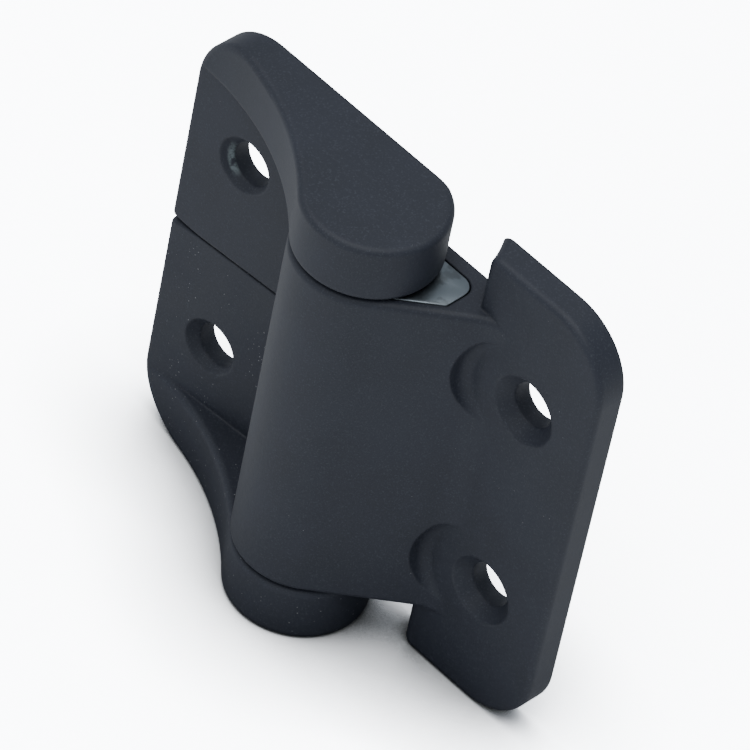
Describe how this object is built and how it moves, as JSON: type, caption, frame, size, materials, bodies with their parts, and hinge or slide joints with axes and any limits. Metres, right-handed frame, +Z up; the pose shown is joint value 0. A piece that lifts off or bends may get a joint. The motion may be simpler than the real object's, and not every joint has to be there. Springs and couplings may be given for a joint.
{
  "type": "torque hinge",
  "caption": "Friction hinge with two flat screw-on leaves; spring clips in the middle knuckle grip the pin, so a door or lid stays at any angle.",
  "frame": {"origin": "on the mounting face of the open hinge, straight behind the pin's axis and half-way up it", "axes": "+X from the split leaf to the wide leaf, +Y out of the mounting face, +Z up along the pin; the hinge lies open flat"},
  "size_m": [0.0638, 0.0163, 0.0614],
  "materials": {
    "powder_coat": "satin black powder coat on die-cast zinc",
    "spring_steel": "bare, stamped edges",
    "pin_steel": "ground and oiled",
    "washer_plastic": "natural acetal"
  },
  "bodies": {
    "split_leaf": {"top_half_leaf": "powder_coat", "bottom_half_leaf": "powder_coat", "pin": "pin_steel", "top_washer": "washer_plastic", "bottom_washer": "washer_plastic"},
    "clip_leaf": {"wide_leaf": "powder_coat", "friction_clip_01": "spring_steel", "friction_clip_02": "spring_steel", "friction_clip_03": "spring_steel", "friction_clip_04": "spring_steel", "friction_clip_05": "spring_steel", "friction_clip_06": "spring_steel", "friction_clip_07": "spring_steel", "friction_clip_08": "spring_steel", "friction_clip_09": "spring_steel", "friction_clip_10": "spring_steel", "friction_clip_11": "spring_steel", "friction_clip_12": "spring_steel", "friction_clip_13": "spring_steel", "friction_clip_14": "spring_steel", "friction_clip_15": "spring_steel", "friction_clip_16": "spring_steel", "friction_clip_17": "spring_steel", "friction_clip_18": "spring_steel", "friction_clip_19": "spring_steel", "friction_clip_20": "spring_steel", "friction_clip_21": "spring_steel", "friction_clip_22": "spring_steel", "friction_clip_23": "spring_steel", "friction_clip_24": "spring_steel", "friction_clip_25": "spring_steel", "friction_clip_26": "spring_steel", "friction_clip_27": "spring_steel", "friction_clip_28": "spring_steel", "friction_clip_29": "spring_steel", "friction_clip_30": "spring_steel"}
  },
  "joints": [
    {"name": "leaf_swing", "type": "hinge", "parent": "split_leaf", "child": "clip_leaf", "pos_m": [0, -0.00775, 0], "axis": [0, 0, 1], "range_deg": [-180, 90]}
  ]
}
